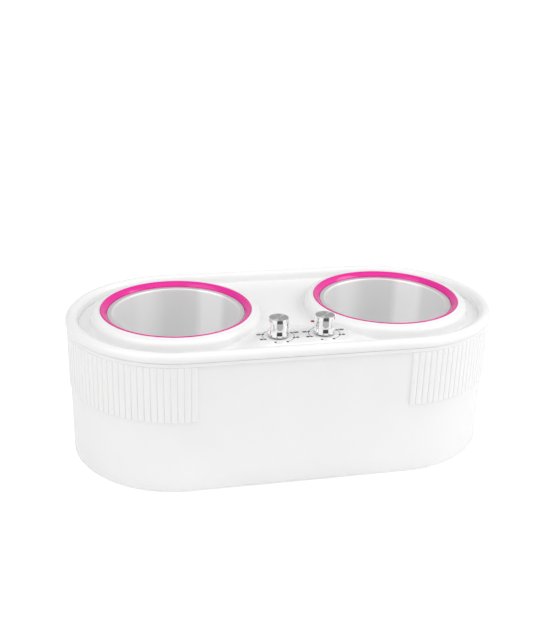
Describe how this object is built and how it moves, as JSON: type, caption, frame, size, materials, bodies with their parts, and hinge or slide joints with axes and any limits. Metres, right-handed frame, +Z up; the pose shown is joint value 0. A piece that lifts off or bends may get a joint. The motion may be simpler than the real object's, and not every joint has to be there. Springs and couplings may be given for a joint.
{
  "type": "double wax warmer",
  "caption": "Long round-ended countertop wax warmer with side-by-side lift-out pots in ringed wells, ribbed ends and turning knobs on a raised front panel.",
  "frame": {"origin": "on the table under the centre of the housing, at the feet's underside", "axes": "+X along the housing, +Z up, and the knobs lie toward -Y"},
  "size_m": [0.39, 0.195, 0.1472],
  "materials": {
    "white_gloss": "glossy white",
    "white_matte": "matte off-white",
    "dark_rubber": "matte",
    "grey_rubber": "matte",
    "pink_gloss": "glossy hot pink",
    "well_aluminium": "spun, satin",
    "pot_aluminium": "spun, satin",
    "heater_aluminium": "cast",
    "insulation_felt": "fibrous",
    "plain_steel": "zinc plated",
    "white_ceramic": "unglazed",
    "ivory_plastic": "moulded",
    "copper_tube": "drawn copper",
    "knob_chrome": "polished",
    "cap_aluminium": "circular brushed",
    "red_lens": "translucent red",
    "green_board": "coated board",
    "black_plastic": "fine texture",
    "pin_brass": "polished",
    "brown_wire": "insulated",
    "blue_wire": "insulated",
    "green_wire": "insulated",
    "red_wire": "glass-fibre sleeved"
  },
  "bodies": {
    "housing": {"body_shell": "white_gloss", "top_cover": "white_gloss", "base_plate": "white_matte", "rubber_feet": "dark_rubber", "accent_ring_left": "pink_gloss", "accent_ring_right": "pink_gloss", "well_seal_left": "grey_rubber", "well_seal_right": "grey_rubber", "heating_well_left": "well_aluminium", "heating_well_right": "well_aluminium", "heater_left": "heater_aluminium", "heater_right": "heater_aluminium", "insulation_left": "insulation_felt", "insulation_right": "insulation_felt", "well_bracket_left": "plain_steel", "well_bracket_right": "plain_steel", "well_nuts": "plain_steel", "bracket_screws": "plain_steel", "thermal_cutout_left": "white_ceramic", "thermal_cutout_right": "white_ceramic", "cutout_screws": "plain_steel", "thermostat_left": "ivory_plastic", "thermostat_right": "ivory_plastic", "thermostat_nuts": "plain_steel", "sensor_left": "copper_tube", "sensor_right": "copper_tube", "indicator_lens": "red_lens", "indicator_board": "green_board", "board_screws": "plain_steel", "power_inlet": "black_plastic", "inlet_pins": "pin_brass", "inlet_screws": "plain_steel", "terminal_block": "ivory_plastic", "wire_live": "brown_wire", "wire_neutral": "blue_wire", "wire_earth": "green_wire", "leads_left": "red_wire", "leads_right": "red_wire", "cover_screws": "plain_steel", "base_screws": "plain_steel"},
    "pot_left": {"wax_pot_left": "pot_aluminium"},
    "knob_left": {"knob_left": "knob_chrome", "knob_cap_left": "cap_aluminium", "thermostat_shaft_left": "plain_steel"},
    "pot_right": {"wax_pot_right": "pot_aluminium"},
    "knob_right": {"knob_right": "knob_chrome", "knob_cap_right": "cap_aluminium", "thermostat_shaft_right": "plain_steel"}
  },
  "joints": [
    {"name": "pot_left_lift", "type": "slide", "parent": "housing", "child": "pot_left", "axis": [0, 0, 1], "range_m": [0, 0.1]},
    {"name": "knob_left_turn", "type": "hinge", "parent": "housing", "child": "knob_left", "pos_m": [-0.02, -0.0695, 0.13], "axis": [0, 0, 1], "range_deg": [-135, 135]},
    {"name": "pot_right_lift", "type": "slide", "parent": "housing", "child": "pot_right", "axis": [0, 0, 1], "range_m": [0, 0.1]},
    {"name": "knob_right_turn", "type": "hinge", "parent": "housing", "child": "knob_right", "pos_m": [0.02, -0.0695, 0.13], "axis": [0, 0, 1], "range_deg": [-135, 135]}
  ]
}
